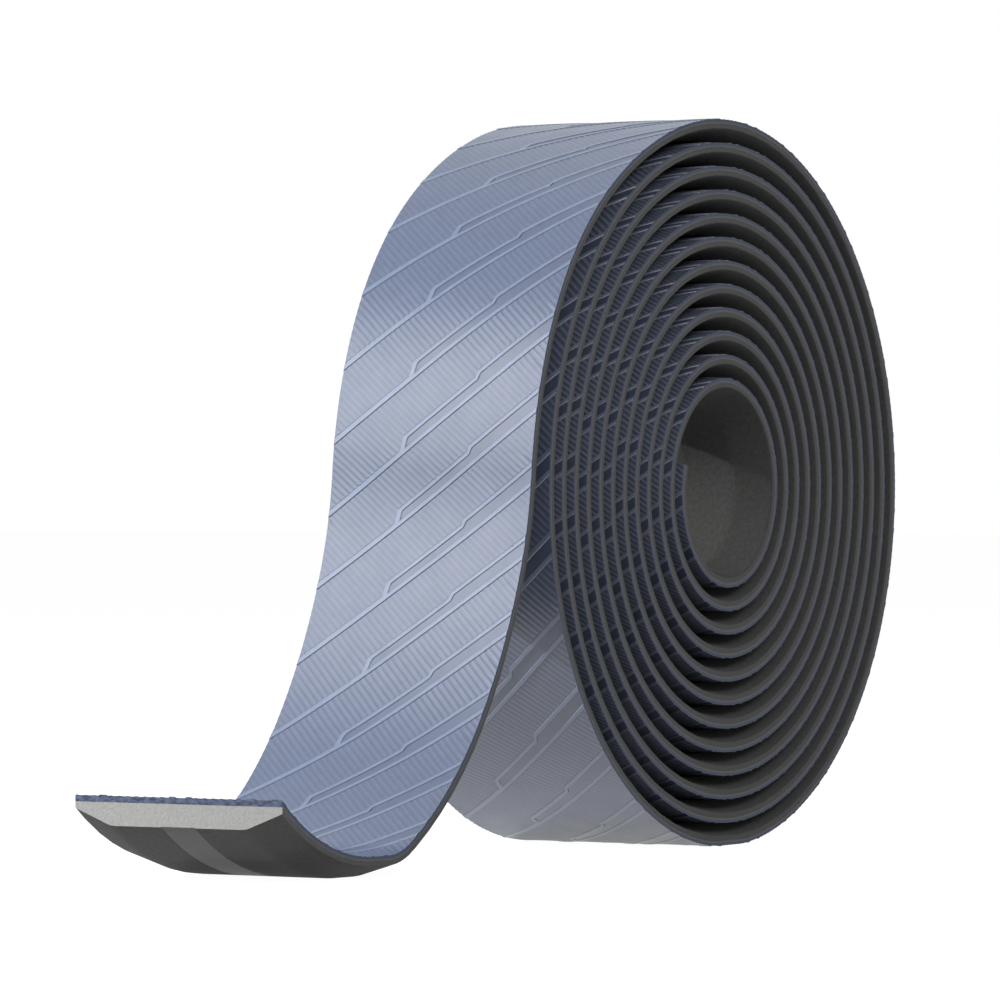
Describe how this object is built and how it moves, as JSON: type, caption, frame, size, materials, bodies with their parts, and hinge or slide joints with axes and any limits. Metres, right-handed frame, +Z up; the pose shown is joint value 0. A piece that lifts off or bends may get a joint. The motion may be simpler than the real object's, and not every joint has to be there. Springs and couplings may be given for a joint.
{
  "type": "handlebar tape roll",
  "caption": "Roll of cushioned handlebar tape: embossed skin on bevelled foam with an adhesive strip, outer end hanging loose and curling up on the surface.",
  "frame": {"origin": "on the surface the roll rests on, at the middle of the flat spot, straight below the roll's axis", "axes": "+Z up, +Y along the roll's axis, -X towards the loose end of the tape"},
  "size_m": [0.1588, 0.03, 0.0974],
  "materials": {
    "embossed_skin": "slate blue polyurethane, embossed with ribs and lines, satin",
    "foam": "charcoal closed-cell foam, matt, cut ends light grey",
    "adhesive": "grey film over the adhesive, matt"
  },
  "bodies": {
    "root": {"grip_skin": "embossed_skin", "foam_base": "foam", "adhesive_strip": "adhesive"}
  },
  "joints": []
}
